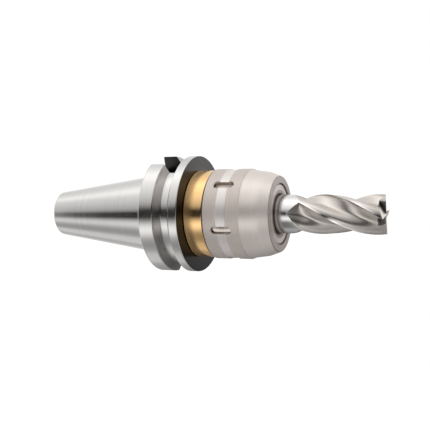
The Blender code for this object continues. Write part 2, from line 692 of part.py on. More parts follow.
def make_end_mill(root):
    """Four-flute end mill: plain shank, run-outs, and right-hand helical flutes to a flat end."""
    build = bmesh.new()
    pitch = 2 * math.pi / FLUTE_COUNT
    shares = tooth_shares()
    rings = []
    for height, twist, lift, limit in mill_sections():
        ring = []
        for tooth in range(FLUTE_COUNT):
            for share in shares:
                lifted = flute_radius(share) + lift * (1 - CORE_RATIO)
                radius = min(limit, MILL_RADIUS * lifted)
                angle = twist + pitch * (tooth + share)
                ring.append(build.verts.new((radius * math.cos(angle) * MM, radius * math.sin(angle) * MM,
                                             height * MM)))
        rings.append(ring)
    for lower, upper in zip(rings, rings[1:]):
        for i in range(len(lower)):
            build.faces.new((lower[i - 1], lower[i], upper[i], upper[i - 1]))
    build.faces.new(rings[0])
    build.faces.new(rings[-1])
    mesh = finish_mesh("end_mill", build)
    add_piece("end_mill", mesh, root, BRIGHT_STEEL, 0.2, 1.0, Matrix.Translation((0, 0, MILL_Z * MM)))


def main():
    """Build every piece under the frame of the body that carries it."""
    clear_scene()
    root = make_frame("chuck_frame")
    nut_slide = make_frame("nut_slide_frame", NUT_END_Z)
    nut_turn = make_frame("nut_turn_frame", NUT_Z)
    cage_turn = make_frame("cage_turn_frame", CAGE_Z)
    screw_slide = make_frame("screw_slide_frame", SCREW_SEAL_Z)
    screw_turn = make_frame("screw_turn_frame", SCREW_Z)
    make_body(root)
    make_backing_ring(root)
    make_rear_seal(root)
    make_keepers(root, nut_turn)
    make_nut(nut_turn)
    make_nose_seal(nut_slide)
    make_roller_train(cage_turn)
    make_preset_screw(screw_slide, screw_turn)
    make_end_mill(root)


main()
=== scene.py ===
"""Studio picture of a roller-lock milling chuck that holds its end mill.

The chuck stands on the small end of its taper, with its axis along Z.
Sizes are in millimetres here, and become metres when a mesh or a place is made.
"""
import math

import bmesh
import bpy
from mathutils import Matrix, Vector


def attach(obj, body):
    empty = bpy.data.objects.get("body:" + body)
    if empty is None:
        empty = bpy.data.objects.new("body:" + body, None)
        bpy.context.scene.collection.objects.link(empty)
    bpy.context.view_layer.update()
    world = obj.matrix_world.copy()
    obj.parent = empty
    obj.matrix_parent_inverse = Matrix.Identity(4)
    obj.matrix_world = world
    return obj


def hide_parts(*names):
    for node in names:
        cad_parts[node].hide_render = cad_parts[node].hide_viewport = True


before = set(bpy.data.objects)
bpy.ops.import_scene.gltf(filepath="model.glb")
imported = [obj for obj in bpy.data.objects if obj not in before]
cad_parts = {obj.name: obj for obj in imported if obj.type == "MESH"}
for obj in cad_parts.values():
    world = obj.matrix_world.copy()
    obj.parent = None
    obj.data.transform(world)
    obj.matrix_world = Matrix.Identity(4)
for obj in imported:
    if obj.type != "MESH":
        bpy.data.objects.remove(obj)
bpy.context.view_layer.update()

MM = 0.001
GAP = 0.3                  # between the neck and the backing ring

# Fineness of the turned pieces
FINE_TURN = 192            # facets round a large turned piece
SEAL_TURN = 128
CORNER_STEPS = 4           # facets in a rounded corner
CORNER_HOLD = 0.35         # strip beside a rounded corner that keeps the long face true
SHARP_EDGE = 28            # degrees between two facets from which their edge stays sharp

# Taper shank
GAUGE_RADIUS = 34.925
TAPER_FALL = 7 / 48        # change of radius for each unit of length
GAUGE_Z = 101.8
SMALL_END_RADIUS = GAUGE_RADIUS - GAUGE_Z * TAPER_FALL
NECK_RELIEF = 0.35

# Flange with its gripper groove and drive slots
FLANGE_RADIUS = 50.0
FLANGE_REAR_Z = 104.8
FLANGE_FRONT_Z = 139.8
GROOVE_Z = 125.0
GROOVE_HALF_MOUTH = 7.5
GROOVE_DEPTH = 7.5
GROOVE_HALF_FLOOR = GROOVE_HALF_MOUTH - GROOVE_DEPTH * math.tan(math.radians(30))
SLOT_WIDTH = 25.7
SLOT_FLOOR = 35.4          # from the axis
SLOT_END_Z = 128.8
SLOT_CORNER = 1.6

# Holes up the middle
PILOT_RADIUS = 12.5
PILOT_DEPTH = 12.0
STUD_HOLE_RADIUS = 10.4
STUD_HOLE_DEPTH = 60.0
COOLANT_RADIUS = 6.0
SCREW_HOLE_RADIUS = 10.0
SCREW_HOLE_Z = 80.0
BORE_RADIUS = 16.3
BORE_BOTTOM_Z = 122.0

# Neck, backing ring and clamping sleeve
NECK_RADIUS = 31.0
NECK_END_Z = 163.9
NECK_GROOVE_RADIUS = 29.3
NECK_GROOVE = (159.6, 162.4)
RING_INNER_RADIUS = NECK_RADIUS + GAP
RING_OUTER_RADIUS = 37.2
RING_Z = (140.1, 156.2)
TRACK_END_Z = 205.7
TRACK_SMALL_RADIUS = 25.2
TRACK_TAPER = 1 / 32
NOSE_RADIUS = 24.7
STOP_GROOVE_RADIUS = 23.3
STOP_GROOVE = (206.0, 208.0)
SLEEVE_END_Z = 211.3

# Clamping nut
NUT_Z = 156.5
NUT_END_Z = 212.3
NUT_RADIUS = 38.15
REAR_BORE_RADIUS = 32.1
BAND_RADIUS = 37.4
BAND_Z = (168.4, 177.0)
FRONT_LAND_RADIUS = 38.05
FRONT_LAND_END_Z = 188.2
CONE_STEP = 0.85
UPPER_CONE_END = (35.0, 203.2)
FACE_RADIUS = 31.5
LIP_RADIUS = 25.6
LIP_Z = 208.3
KEEPER_GROOVE = (201.7, 203.9)
KEEPER_GROOVE_RADIUS = 29.7
SEAL_GROOVE = (209.3, 211.5)
SEAL_GROOVE_RADIUS = 27.6
TRACK_GAP = 3.6            # sleeve's track to the nut's
TRACK_START_Z = 166.5
SPANNER_SLOTS = 6
SPANNER_SLOT_ANGLE = math.radians(32.9)
SPANNER_SLOT_LENGTH = 17.5
SPANNER_SLOT_WIDTH = 6.5
SPANNER_SLOT_DEPTH = 4.6
SPANNER_SLOT_Z = 172.7
SLOT_RIM = 0.7             # chamfer round a spanner slot
SLOT_Z = (SPANNER_SLOT_Z - SPANNER_SLOT_LENGTH / 2 - 0.4, SPANNER_SLOT_Z + SPANNER_SLOT_LENGTH / 2 + 0.4)

# End mill
MILL_RADIUS = 16.0
MILL_Z = (133.8, 298.8)
MILL_CHAMFER = 0.8         # at the shank's hidden end
FLUTES = 4
FLUTE_LENGTH = 78.0
RUN_OUT = 10.5
RUN_OUT_VISIBLE = 9.8      # from the tip of the run-out's arrow shape to full depth
ARROW_SHARE = 0.37         # where the arrow's tip lies along the tooth's pitch
DEPTH_RUN = 15.0           # from the arrow's tip to the flute's full depth
BACK_POINTS = 14           # points along a tooth's land, which spread out round the shank
LEAD = math.pi * 2 * MILL_RADIUS / math.tan(math.radians(30))
CORE_RATIO = 0.60
FLUTE_BOTTOM_SHARE = 0.42
LAND_SHARE = 0.10
HEEL_RATIO = 0.975
SCOOP_FULLNESS = 2.6       # 4 would bring a shallow flute down to the full depth
TIP_EDGE_ANGLE = math.radians(355)
SECTION_STEP = 1.0
WEB_RADIUS = 3.4           # where a gash's floor meets the end
GASH_REACH = 10.6          # how far out the gash's wheel marks go
RELIEF_SLOPE = 0.42        # fall of the end behind a cutting edge, per unit across
GASH_DEPTH = 5.2
GASH_WIDTH = 7.0

# The view of the photograph, from the tool's gauge line
VIEW_DISTANCE = 657.979
VIEW_SIDE = 46.868         # gauge line to the left of the picture's middle
VIEW_RISE = 1.406
VIEW_LENS = 62.1           # millimetres, on a 36 mm frame
AXIS_TOWARDS_VIEWER = math.radians(23.183)
AXIS_ROLL = math.radians(-0.307)
VIEWER_AZIMUTH = math.radians(251.4)

# Turned surfaces spread a reflection across their fine lines
ACROSS_THE_LINES = 0.25

# Studio
TENT_RADIUS = 0.55
TENT_Z = (-0.70, 1.30)
TENT_SIDES = 96
PANEL_LEAN = 18.75         # degrees for each metre of height
PANEL_FOOT = 0.12          # metres below the floor where a leaning panel has its own angle


class Value:
    """A number that changes over a surface, which can be used in sums."""

    def __init__(self, finish, socket):
        self.finish = finish
        self.socket = socket

    def sum(self, operation, left, right=0.0):
        made = self.finish.node("ShaderNodeMath", {"operation": operation}, {0: left, 1: right})
        return Value(self.finish, made.outputs[0])

    def __add__(self, other):
        return self.sum("ADD", self, other)

    def __radd__(self, other):
        return self.sum("ADD", other, self)

    def __sub__(self, other):
        return self.sum("SUBTRACT", self, other)

    def __rsub__(self, other):
        return self.sum("SUBTRACT", other, self)

    def __mul__(self, other):
        return self.sum("MULTIPLY", self, other)

    def __rmul__(self, other):
        return self.sum("MULTIPLY", other, self)

    def __truediv__(self, other):
        return self.sum("DIVIDE", self, other)

    def __pow__(self, other):
        return self.sum("POWER", self, other)

    def sine(self):
        return self.sum("SINE", self)

    def cosine(self):
        return self.sum("COSINE", self)

    def exponent(self):
        return self.sum("EXPONENT", self)

    def size(self):
        return self.sum("ABSOLUTE", self)

    def lowest(self, other):
        return self.sum("MINIMUM", self, other)

    def highest(self, other):
        return self.sum("MAXIMUM", self, other)


class Finish:
    """A finish of this chuck, built node by node."""

    def __init__(self, name):
        self.material = bpy.data.materials.new(name)
        self.material.use_nodes = True
        self.tree = self.material.node_tree
        self.shader = self.tree.nodes["Principled BSDF"]
        self.surface = self.tree.nodes["Material Output"].inputs["Surface"]

    def node(self, kind, settings=None, inputs=None):
        """A node of a kind, its settings first and then its sockets."""
        made = self.tree.nodes.new(kind)
        for key, setting in (settings or {}).items():
            if key == "stops":
                self.place_stops(made.color_ramp, setting)
            else:
                setattr(made, key, setting)
        for key, fed in (inputs or {}).items():
            self.feed(made.inputs[key], fed)
        return made

    def place_stops(self, ramp, stops):
        while len(ramp.elements) < len(stops):
            ramp.elements.new(1.0)
        for element, (position, shade) in zip(ramp.elements, stops):
            element.position = position
            element.color = (*shade, 1.0)

    def feed(self, socket, fed):
        if isinstance(fed, Value):
            self.tree.links.new(fed.socket, socket)
        elif isinstance(fed, bpy.types.NodeSocket):
            self.tree.links.new(fed, socket)
        else:
            socket.default_value = fed

    def set(self, **fed):
        """Feed the Principled shader, with each socket's name in lower case."""
        for key, what in fed.items():
            self.feed(self.shader.inputs[key.replace("_", " ").title()], what)

    def axes(self):
        """Place along X, Y and Z, in metres."""
        place = self.node("ShaderNodeTexCoord").outputs["Object"]
        split = self.node("ShaderNodeSeparateXYZ", inputs={0: place})
        return [Value(self, out) for out in split.outputs]

    def radius(self, x, y):
        return (x * x + y * y) ** 0.5

    def grain(self, scale, detail=2.0):
        """Speckle in all directions, with a number of specks for each metre."""
        place = self.node("ShaderNodeTexCoord").outputs["Object"]
        made = self.node("ShaderNodeTexNoise", {"noise_dimensions": "3D"},
                         {"Vector": place, "Scale": scale, "Detail": detail})
        return Value(self, made.outputs["Fac"])

    def lines(self, along, scale, detail=2.0):
        """Lines across a direction, with a number of lines for each metre."""
        made = self.node("ShaderNodeTexNoise", {"noise_dimensions": "1D"},
                         {"W": along * scale, "Scale": 1.0, "Detail": detail})
        return Value(self, made.outputs["Fac"])

    def blend(self, share, first, second):
        """A colour between two others, each a colour or a socket."""
        ends = [(*end, 1.0) if isinstance(end, tuple) else end for end in (first, second)]
        made = self.node("ShaderNodeMix", {"data_type": "RGBA"},
                         {"Factor": share, "A": ends[0], "B": ends[1]})
        return made.outputs["Result"]

    def relief(self, height, depth, strength=1.0):
        """Fine relief of a depth in millimetres."""
        made = self.node("ShaderNodeBump", None,
                         {"Height": height, "Distance": depth * MM, "Strength": strength})
        return made.outputs["Normal"]


def above(value, limit, width=0.05):
    """0 below a limit in millimetres and 1 above it, over a width in millimetres."""
    return ((value - limit * MM) / (width * MM) + 0.5).highest(0.0).lowest(1.0)


def in_drive_slots(x, y, z, radius):
    """1 on the walls and floors of the drive slots."""
    inside = above(x.size(), SLOT_FLOOR - 0.1) * (1 - above(y.size(), SLOT_WIDTH / 2 + 0.1))
    inside = inside * above(z, FLANGE_REAR_Z + 0.2) * (1 - above(z, SLOT_END_Z + 0.1))
    return inside * (1 - above(radius, FLANGE_RADIUS - 0.1))


def groove_wall_shade_mask(z, radius):
    """1 on the gripper groove's wall nearer the taper, where painted shade goes."""
    low, high = GROOVE_Z - GROOVE_HALF_MOUTH, GROOVE_Z - GROOVE_HALF_FLOOR
    wall = above(z, low) * (1 - above(z, high + 0.3, 0.8))
    return wall * (1 - above(radius, FLANGE_RADIUS - 0.6, 0.8))


def chuck_steel():
    """Hardened steel, ground round the axis, near-black in the drive slots, with painted shade in the
    gripper groove and round the sleeve's mouth, and a painted dark reflection on the flange's front.
    """
    finish = Finish("chuck_steel")
    x, y, z = finish.axes()
    radius = finish.radius(x, y)
    lathe_way = z + radius * 0.9
    fine = finish.lines(lathe_way, 5200, 3.0)
    broad = finish.lines(lathe_way, 260, 2.0)
    handled = finish.grain(45, 3.0)
    in_slot = in_drive_slots(x, y, z, radius)
    front_face_dark_reflection = above(z, FLANGE_FRONT_Z - 0.1) * above(radius, NECK_RADIUS - 0.5)
    on_flange = above(z, FLANGE_REAR_Z + 0.5) * above(radius, FLANGE_RADIUS - 9)
    sleeve_end = above(z, SLEEVE_END_Z - 1.4)
    # painted shade: the sleeve's end darkens towards the bore, for the shadow and dark reflection round
    # the shank's root
    mouth_shade = (1 - above(radius, BORE_RADIUS + 2.2, 4.2)) ** 0.5
    ground = finish.blend(broad * 0.6 + handled * 0.4, (0.60, 0.585, 0.57), (0.68, 0.665, 0.65))
    # painted shade: the groove's wall nearer the taper is darkened where shade falls in the groove
    ground = finish.blend(groove_wall_shade_mask(z, radius) * 0.34, ground, (0.10, 0.07, 0.06))
    satin = finish.blend(mouth_shade, (0.59, 0.505, 0.47), (0.02, 0.014, 0.012))
    colour = finish.blend(sleeve_end, ground, satin)
    # painted dark reflection: the flange's ground front face is coloured near-black for the ring, nut and
    # dark surroundings that it mirrors
    colour = finish.blend(front_face_dark_reflection, colour, (0.024, 0.021, 0.020))
    roughness = 0.08 + broad * 0.04 + fine * 0.04 + handled * 0.04
    finish.set(
        base_color=finish.blend(in_slot, colour, (0.045, 0.042, 0.042)),
        metallic=1.0 - sleeve_end * 0.6,
        roughness=roughness + in_slot * 0.12 + sleeve_end * 0.22 + on_flange * 0.06,
        anisotropic=0.8,
        anisotropic_rotation=ACROSS_THE_LINES,
        normal=finish.relief(fine, 0.010, 0.35),
    )
    return finish.material


def polished_brass():
    """Bright brass with faint turning lines, which turns satin towards the flange."""
    finish = Finish("polished_brass")
    x, y, z = finish.axes()
    lathe_way = z + finish.radius(x, y)
    fine = finish.lines(lathe_way, 6000, 3.0)
    broad = finish.lines(lathe_way, 420, 2.0)
    tarnish = finish.grain(70, 4.0)
    satin_share = 1 - above(z, RING_Z[0] + 5.0, 9.0)
    finish.set(
        base_color=finish.blend(tarnish, (0.86, 0.54, 0.23), (0.94, 0.63, 0.31)),
        metallic=0.98 - satin_share * 0.14,
        roughness=0.12 + broad * 0.04 + tarnish * 0.04 + satin_share * 0.24,
        anisotropic=0.8,
        anisotropic_rotation=ACROSS_THE_LINES,
        normal=finish.relief(fine, 0.008, 0.3),
    )
    return finish.material


def blasted_nickel():
    """Bead-blasted nickel on the nut, smoother on its turned nose cones, with painted shade along its rear
    and front edges.
    """
    finish = Finish("blasted_nickel")
    x, y, z = finish.axes()
    radius = finish.radius(x, y)
    beads = finish.grain(5200, 2.0)
    cloud = finish.grain(110, 3.0)
    turning = finish.lines(z + radius, 2600, 3.0)
    streaks = finish.lines(z + radius, 420, 2.0)
    tool_marks = finish.lines(z + radius, 1300, 2.0)
    nose = above(z, FRONT_LAND_END_Z)
    face = above(z, NUT_END_Z - 0.15)
    band = above(z, BAND_Z[0]) * (1 - above(z, BAND_Z[1] - 0.1)) * above(radius, BAND_RADIUS - 0.3)
    smooth = (nose * (1 - above(z, NUT_END_Z - 0.2)) + band).lowest(1.0)
    deep = above(z, SLOT_Z[0]) * (1 - above(z, SLOT_Z[1])) * (1 - above(radius, BAND_RADIUS - 0.5, 0.3))
    # painted shade: dark lines along the nut's rounded rear and front edges, where shade and dark
    # reflections fall
    rear_edge_shade = (1 - above(z, NUT_Z + 1.1, 0.4)) * (1 - above(radius, NUT_RADIUS + 0.01, 0.05))
    front_edge_shade = above(z, NUT_END_Z - 0.75, 0.3) * (1 - face) * 0.6
    land = finish.blend(tool_marks * 1.1 + cloud * 0.4 - 0.25, (0.50, 0.44, 0.40), (0.70, 0.63, 0.58))
    cone = finish.blend(cloud * 0.5 + streaks * 0.5, (0.66, 0.60, 0.55), (0.76, 0.70, 0.65))
    colour = finish.blend(face, finish.blend(nose, land, cone), (0.44, 0.385, 0.36))
    colour = finish.blend(band, colour, (0.78, 0.73, 0.70))
    height = beads * (1 - smooth * 0.7) + turning * (0.2 + smooth * 0.4)
    finish.set(
        base_color=finish.blend((rear_edge_shade + front_edge_shade).lowest(1.0), colour, (0.08, 0.055, 0.04)),
        metallic=(0.38 + smooth * 0.16) * (1 - deep) + deep,
        roughness=0.42 + beads * 0.06 - smooth * 0.10 + cloud * 0.05 - deep * 0.26,
        anisotropic=0.5,
        anisotropic_rotation=ACROSS_THE_LINES,
        normal=finish.relief(height, 0.02, 0.5),
    )
    return finish.material


def flute_lines(finish, x, y, z):
    """Grinding lines that follow the flutes' helix."""
    run_out_end = MILL_Z[1] - FLUTE_LENGTH + RUN_OUT
    turn = z.highest(run_out_end * MM) * (2 * math.pi / (LEAD * MM))
    across = x * turn.cosine() + y * turn.sine()
    along = y * turn.cosine() - x * turn.sine()
    place = finish.node("ShaderNodeCombineXYZ", None, {0: across, 1: along, 2: 0.0}).outputs[0]
    made = finish.node("ShaderNodeTexNoise", {"noise_dimensions": "2D"},
                       {"Vector": place, "Scale": 2400, "Detail": 3.0})
    return Value(finish, made.outputs["Fac"])


def gash_shade_mask(x, y, z):
    """1 on the walls and floors of the gashes at the end mill's end, where painted shade goes."""
    total = 0.0
    for number in range(FLUTES):
        angle = TIP_EDGE_ANGLE + 2 * math.pi * number / FLUTES
        out = x * math.cos(angle) + y * math.sin(angle)
        beside = y * math.cos(angle) - x * math.sin(angle)
        gash = above(out, 1.2) * (1 - above(out, GASH_REACH))
        gash = gash * above(beside, 0.02, 0.02) * (1 - above(beside, GASH_WIDTH + 0.1))
        total = gash + total
    near_end = above(z, MILL_Z[1] - GASH_DEPTH - 0.1) * (1 - above(z, MILL_Z[1] - 0.02, 0.02))
    return total.lowest(1.0) * near_end


def mill_steel():
    """Bright tool steel with the grinding lines of its flutes and shank, and painted shade in the gashes
    at its end.
    """
    finish = Finish("ground_mill_steel")
    x, y, z = finish.axes()
    radius = finish.radius(x, y)
    shank = 1 - above(z, MILL_Z[1] - FLUTE_LENGTH - 1.25, 2.5)
    rings = finish.lines(z + radius, 5200, 3.0)
    grinding = flute_lines(finish, x, y, z) * (1 - shank) + rings * shank
    haze = finish.grain(90, 3.0)
    bright = (shank + above(radius, MILL_RADIUS * 0.985)).lowest(1.0)
    flute = finish.blend(haze, (0.60, 0.55, 0.505), (0.70, 0.655, 0.61))
    colour = finish.blend(bright, flute, (0.76, 0.75, 0.74))
    finish.set(
        # painted shade: the gashes at the end are darkened as shadowed pockets
        base_color=finish.blend(gash_shade_mask(x, y, z) * 0.8, colour, (0.05, 0.04, 0.035)),
        metallic=1.0,
        roughness=0.24 + grinding * 0.10 + haze * 0.06 - bright * 0.14,
        normal=finish.relief(grinding, 0.012, 0.4),
    )
    return finish.material


def dark_rubber():
    """Moulded nitrile rubber."""
    finish = Finish("moulded_rubber")
    skin = finish.grain(900, 3.0)
    finish.set(
        base_color=finish.blend(skin, (0.10, 0.085, 0.078), (0.14, 0.12, 0.11)),
        roughness=0.55 + skin * 0.25,
        normal=finish.relief(skin, 0.03, 0.4),
    )
    return finish.material


def spring_steel():
    """Blued and oiled spring steel."""
    finish = Finish("oiled_spring_steel")
    x, y, z = finish.axes()
    lines = finish.lines(finish.radius(x, y), 3000, 2.0)
    oil = finish.grain(160, 3.0)
    finish.set(
        base_color=finish.blend(oil, (0.13, 0.13, 0.145), (0.22, 0.21, 0.21)),
        metallic=1.0,
        roughness=0.28 + oil * 0.16,
        normal=finish.relief(lines, 0.01, 0.3),
    )
    return finish.material


def blackened_steel():
    """Blackened screw steel, worn on its edges."""
    finish = Finish("blackened_steel")
    x, y, z = finish.axes()
    lines = finish.lines(z + finish.radius(x, y), 2200, 2.0)
    worn = finish.grain(240, 4.0)
    finish.set(
        base_color=finish.blend(worn, (0.08, 0.08, 0.085), (0.21, 0.205, 0.20)),
        metallic=1.0,
        roughness=0.34 + worn * 0.18,
        normal=finish.relief(lines, 0.015, 0.4),
    )
    return finish.material


def cage_bronze():
    """Machined bronze of the roller cage."""
    finish = Finish("machined_bronze")
    x, y, z = finish.axes()
    lines = finish.lines(z, 1800, 2.0)
    patina = finish.grain(200, 4.0)
    finish.set(
        base_color=finish.blend(patina, (0.50, 0.30, 0.13), (0.66, 0.44, 0.22)),
        metallic=1.0,
        roughness=0.26 + patina * 0.16,
        normal=finish.relief(lines, 0.015, 0.4),
    )
    return finish.material


def lapped_steel():
    """Lapped bearing steel of the needle rollers."""
    finish = Finish("lapped_steel")
    x, y, z = finish.axes()
    lines = finish.lines(z, 7000, 2.0)
    haze = finish.grain(400, 2.0)
    finish.set(
        base_color=finish.blend(haze, (0.74, 0.74, 0.74), (0.84, 0.84, 0.83)),
        metallic=1.0,
        roughness=0.07 + haze * 0.06,
        normal=finish.relief(lines, 0.004, 0.3),
    )
    return finish.material


def rounded(outline, corners, steps=CORNER_STEPS):
    """The outline with an arc-like curve at each corner in the list of (number, size)."""
    sizes = dict(corners)
    points = []
    for i, corner in enumerate(outline):
        if i not in sizes:
            points.append(corner)
            continue
        here = Vector(corner)
        before = Vector(outline[i - 1]) - here
        after = Vector(outline[(i + 1) % len(outline)]) - here
        start = here + before.normalized() * min(sizes[i], before.length * 0.42)
        end = here + after.normalized() * min(sizes[i], after.length * 0.42)
        if before.length * 0.42 > sizes[i] + CORNER_HOLD:
            points.append(tuple(start + before.normalized() * CORNER_HOLD))
        for step in range(steps + 1):
            share = step / steps
            low = start.lerp(here, share)
            points.append(tuple(low.lerp(here.lerp(end, share), share)))
        if after.length * 0.42 > sizes[i] + CORNER_HOLD:
            points.append(tuple(end + after.normalized() * CORNER_HOLD))
    return points


def finish_mesh(name, build, sharp=SHARP_EDGE):
    """Turn a bmesh into a smooth-shaded piece whose edges stay sharp."""
    bmesh.ops.recalc_face_normals(build, faces=build.faces)
    mesh = bpy.data.meshes.new(name)
    build.to_mesh(mesh)
    build.free()
    piece = bpy.data.objects.new(name, mesh)
    bpy.context.collection.objects.link(piece)
    shade(mesh, sharp)
    return piece


def shade(mesh, sharp=SHARP_EDGE):
    mesh.shade_smooth()
    mesh.set_sharp_from_angle(angle=math.radians(sharp))


def turned(name, outline, segments=FINE_TURN):
    """Turn a closed outline of (radius, height) about the tool axis."""
    build = bmesh.new()
    points = [build.verts.new((radius * MM, 0, height * MM)) for radius, height in outline]
    edges = [build.edges.new((points[i - 1], point)) for i, point in enumerate(points)]
    bmesh.ops.spin(build, geom=points + edges, cent=(0, 0, 0), axis=(0, 0, 1), dvec=(0, 0, 0),
                   angle=2 * math.pi, steps=segments, use_merge=True)
    bmesh.ops.remove_doubles(build, verts=build.verts, dist=1e-7)
    return finish_mesh(name, build)


def stacked(name, layers):
    """A cutter skinned over layers of the same number of points, in metres."""
    build = bmesh.new()
    rings = [[build.verts.new(point) for point in layer] for layer in layers]
    for lower, upper in zip(rings, rings[1:]):
        for i in range(len(lower)):
            build.faces.new((lower[i - 1], lower[i], upper[i], upper[i - 1]))
    build.faces.new(rings[0])
    build.faces.new(rings[-1])
    return finish_mesh(name, build)


def carve(piece, cutters):
    """Cut away what the cutters cover, and remove them."""
    for cutter in cutters:
        step = piece.modifiers.new(cutter.name, "BOOLEAN")
        step.operation = "DIFFERENCE"
        step.solver = "EXACT"
        step.object = cutter
    bpy.context.view_layer.update()
    graph = bpy.context.evaluated_depsgraph_get()
    carved = bpy.data.meshes.new_from_object(piece.evaluated_get(graph))
    piece.modifiers.clear()
    piece.data = carved
    shade(carved)
    for cutter in cutters:
        bpy.data.objects.remove(cutter)


def dress(piece, material, slot, body, *nodes):
    """Give a piece its finish and its body, and hide the solids that it stands for."""
    piece.data.materials.clear()
    piece.data.materials.append(material)
    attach(piece, body)
    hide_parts(*nodes)


def sleeve_radius(height):
    return TRACK_SMALL_RADIUS + (TRACK_END_Z - height) * TRACK_TAPER


def chuck_outline():
    """Outline of the chuck body: up its outside, and down its bores."""
    rear_tooth = GROOVE_Z - GROOVE_HALF_MOUTH
    front_tooth = GROOVE_Z + GROOVE_HALF_MOUTH
    groove_radius = FLANGE_RADIUS - GROOVE_DEPTH
    neck_root = GAUGE_RADIUS - NECK_RELIEF
    outside = [
        (SMALL_END_RADIUS - 1.0, 0.0),
        (SMALL_END_RADIUS + TAPER_FALL, 1.0),
        (GAUGE_RADIUS, GAUGE_Z),
        (neck_root, GAUGE_Z + NECK_RELIEF),
        (neck_root, FLANGE_REAR_Z),
        (FLANGE_RADIUS, FLANGE_REAR_Z),
        (FLANGE_RADIUS, rear_tooth),
        (groove_radius, GROOVE_Z - GROOVE_HALF_FLOOR),
        (groove_radius, GROOVE_Z + GROOVE_HALF_FLOOR),
        (FLANGE_RADIUS, front_tooth),
        (FLANGE_RADIUS, FLANGE_FRONT_Z),
        (NECK_RADIUS, FLANGE_FRONT_Z),
        (NECK_RADIUS, NECK_GROOVE[0]),
        (NECK_GROOVE_RADIUS, NECK_GROOVE[0]),
        (NECK_GROOVE_RADIUS, NECK_GROOVE[1]),
        (NECK_RADIUS, NECK_GROOVE[1]),
        (NECK_RADIUS, NECK_END_Z),
        (sleeve_radius(NECK_END_Z), NECK_END_Z),
        (TRACK_SMALL_RADIUS, TRACK_END_Z),
        (NOSE_RADIUS, TRACK_END_Z),
        (NOSE_RADIUS, STOP_GROOVE[0]),
        (STOP_GROOVE_RADIUS, STOP_GROOVE[0]),
        (STOP_GROOVE_RADIUS, STOP_GROOVE[1]),
        (NOSE_RADIUS, STOP_GROOVE[1]),
        (NOSE_RADIUS, SLEEVE_END_Z),
        (BORE_RADIUS + 1.0, SLEEVE_END_Z),
        (BORE_RADIUS, SLEEVE_END_Z - 1.0),
        (BORE_RADIUS, BORE_BOTTOM_Z),
        (SCREW_HOLE_RADIUS, BORE_BOTTOM_Z),
        (SCREW_HOLE_RADIUS, SCREW_HOLE_Z),
        (COOLANT_RADIUS, SCREW_HOLE_Z),
        (COOLANT_RADIUS, STUD_HOLE_DEPTH),
        (STUD_HOLE_RADIUS, STUD_HOLE_DEPTH - (STUD_HOLE_RADIUS - COOLANT_RADIUS) / 2),
        (STUD_HOLE_RADIUS, PILOT_DEPTH),
        (PILOT_RADIUS, PILOT_DEPTH),
        (PILOT_RADIUS, 1.0),
        (PILOT_RADIUS + 1.0, 0.0),
    ]
    corners = [(1, 0.6), (2, 0.3), (4, 0.6), (5, 0.9), (6, 0.5), (7, 0.5), (8, 0.5), (9, 0.2), (10, 0.9),
               (11, 0.6), (16, 0.4), (24, 0.5), (26, 0.3)]
    return rounded(outside, corners)


def drive_slot_cutter(side):
    """Cutter of one drive slot: square, with rounded corners at its floor and its end."""
    half = SLOT_WIDTH / 2
    far = FLANGE_RADIUS + 8
    low = FLANGE_REAR_Z - 10
    path = rounded([(-half, low), (half, low), (half, SLOT_END_Z), (-half, SLOT_END_Z)],
                   [(2, SLOT_CORNER), (3, SLOT_CORNER)], 6)
    layers = [[(side * depth * MM, across * MM, height * MM) for across, height in path]
              for depth in (SLOT_FLOOR, far)]
    return stacked("drive_slot_cutter", layers)


def make_chuck_body(steel):
    body = turned("chuck_body_turned", chuck_outline())
    carve(body, [drive_slot_cutter(side) for side in (-1, 1)])
    dress(body, steel, "chuck_steel", "chuck", "chuck_body")


def make_backing_ring(brass):
    outline = [
        (RING_INNER_RADIUS, RING_Z[0]),
        (RING_OUTER_RADIUS, RING_Z[0]),
        (RING_OUTER_RADIUS, RING_Z[1]),
        (RING_INNER_RADIUS, RING_Z[1]),
    ]
    ring = turned("backing_ring_turned", rounded(outline, [(0, 0.3), (1, 0.6), (2, 0.6), (3, 0.3)]))
    dress(ring, brass, "ring_brass", "chuck", "backing_ring")


def nut_outline():
    """Outline of the clamping nut: up its bores from the rear face, and down its outside."""
    cavity_radius = sleeve_radius(KEEPER_GROOVE[0]) + TRACK_GAP
    outline = [
        (REAR_BORE_RADIUS, NUT_Z),
        (REAR_BORE_RADIUS, TRACK_START_Z),
        (sleeve_radius(TRACK_START_Z) + TRACK_GAP, TRACK_START_Z),
        (cavity_radius, KEEPER_GROOVE[0]),
        (KEEPER_GROOVE_RADIUS, KEEPER_GROOVE[0]),
        (KEEPER_GROOVE_RADIUS, KEEPER_GROOVE[1]),
        (cavity_radius, KEEPER_GROOVE[1]),
        (cavity_radius, LIP_Z),
        (LIP_RADIUS, LIP_Z),
        (LIP_RADIUS, SEAL_GROOVE[0]),
        (SEAL_GROOVE_RADIUS, SEAL_GROOVE[0]),
        (SEAL_GROOVE_RADIUS, SEAL_GROOVE[1]),
        (LIP_RADIUS, SEAL_GROOVE[1]),
        (LIP_RADIUS, NUT_END_Z),
        (FACE_RADIUS, NUT_END_Z),
        UPPER_CONE_END,
        (FRONT_LAND_RADIUS - CONE_STEP, FRONT_LAND_END_Z),
        (FRONT_LAND_RADIUS, FRONT_LAND_END_Z),
        (FRONT_LAND_RADIUS, BAND_Z[1]),
        (BAND_RADIUS, BAND_Z[1] - 0.2),
        (BAND_RADIUS, BAND_Z[0] + 0.2),
        (NUT_RADIUS, BAND_Z[0]),
        (NUT_RADIUS, NUT_Z),
    ]
    corners = [(0, 0.5), (13, 0.3), (14, 0.7), (15, 1.2), (16, 0.15), (17, 0.35), (18, 0.15), (19, 0.12),
               (20, 0.12), (21, 0.15), (22, 1.0)]
    return rounded(outline, corners)


